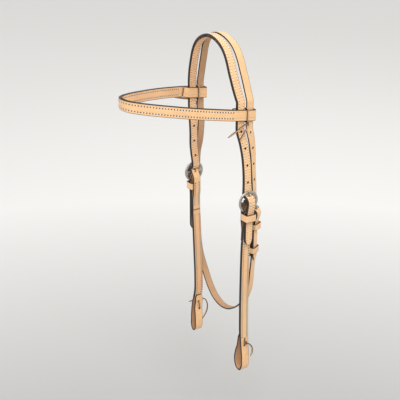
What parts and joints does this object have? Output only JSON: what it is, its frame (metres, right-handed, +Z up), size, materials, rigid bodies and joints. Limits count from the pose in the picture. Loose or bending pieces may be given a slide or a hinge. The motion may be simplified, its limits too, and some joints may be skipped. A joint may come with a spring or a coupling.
{
  "type": "western headstall",
  "caption": "Western bridle headstall: crown and throatlatch straps over the poll, a browband, buckled cheek straps with keepers, and laced loops at their ends that hold a bit.",
  "frame": {"origin": "the poll rest: under the middle of the crown strap, on its lining", "axes": "+Z up, the horse faces -Y, and its left side, where the throatlatch buckles, is +X"},
  "size_m": [0.1745, 0.1911, 0.517],
  "materials": {
    "leather": "oiled grain side with dyed edges",
    "inner_leather": "matte flesh side",
    "lace": "oiled thong",
    "plated_metal": "polished and a little dull"
  },
  "bodies": {
    "headstall": {"crown_strap": "leather", "crown_lining": "inner_leather", "throatlatch_strap": "leather", "cheek_strap_near": "leather", "cheek_strap_far": "leather", "cheek_lining_near": "inner_leather", "cheek_lining_far": "inner_leather", "cheek_buckle_near": "plated_metal", "cheek_buckle_far": "plated_metal", "cheek_keeper_near": "leather", "cheek_keeper_far": "leather", "throat_buckle": "plated_metal", "bit_tie_near": "lace", "bit_tie_far": "lace"},
    "browband": {"browband_strap": "leather", "browband_lining": "inner_leather", "browband_tie_near": "lace", "browband_tie_far": "lace"},
    "tongue_near": {"cheek_tongue_near": "plated_metal"},
    "tongue_far": {"cheek_tongue_far": "plated_metal"},
    "tongue_throat": {"throat_tongue": "plated_metal"},
    "keeper_throat_upper": {"throat_keeper_upper": "leather"},
    "keeper_throat_lower": {"throat_keeper_lower": "leather"}
  },
  "joints": [
    {"name": "browband_slide", "type": "slide", "parent": "headstall", "child": "browband", "axis": [0, 0, 1], "range_m": [-0.008, 0.003]},
    {"name": "tongue_near_hinge", "type": "hinge", "parent": "headstall", "child": "tongue_near", "pos_m": [0.075, 0.0106, -0.2245], "axis": [0, 1, 0], "range_deg": [0, 5]},
    {"name": "tongue_far_hinge", "type": "hinge", "parent": "headstall", "child": "tongue_far", "pos_m": [-0.075, 0.0144, -0.2245], "axis": [0, -1, 0], "range_deg": [0, 5]},
    {"name": "tongue_throat_hinge", "type": "hinge", "parent": "headstall", "child": "tongue_throat", "pos_m": [0.0665, 0.0303, -0.249], "axis": [-0.4226, 0.9063, 0], "range_deg": [0, 5]},
    {"name": "keeper_throat_upper_slide", "type": "slide", "parent": "headstall", "child": "keeper_throat_upper", "axis": [0, 0, -1], "range_m": [0, 0.01]},
    {"name": "keeper_throat_lower_slide", "type": "slide", "parent": "headstall", "child": "keeper_throat_lower", "axis": [0, 0, -1], "range_m": [-0.008, 0.006]}
  ]
}
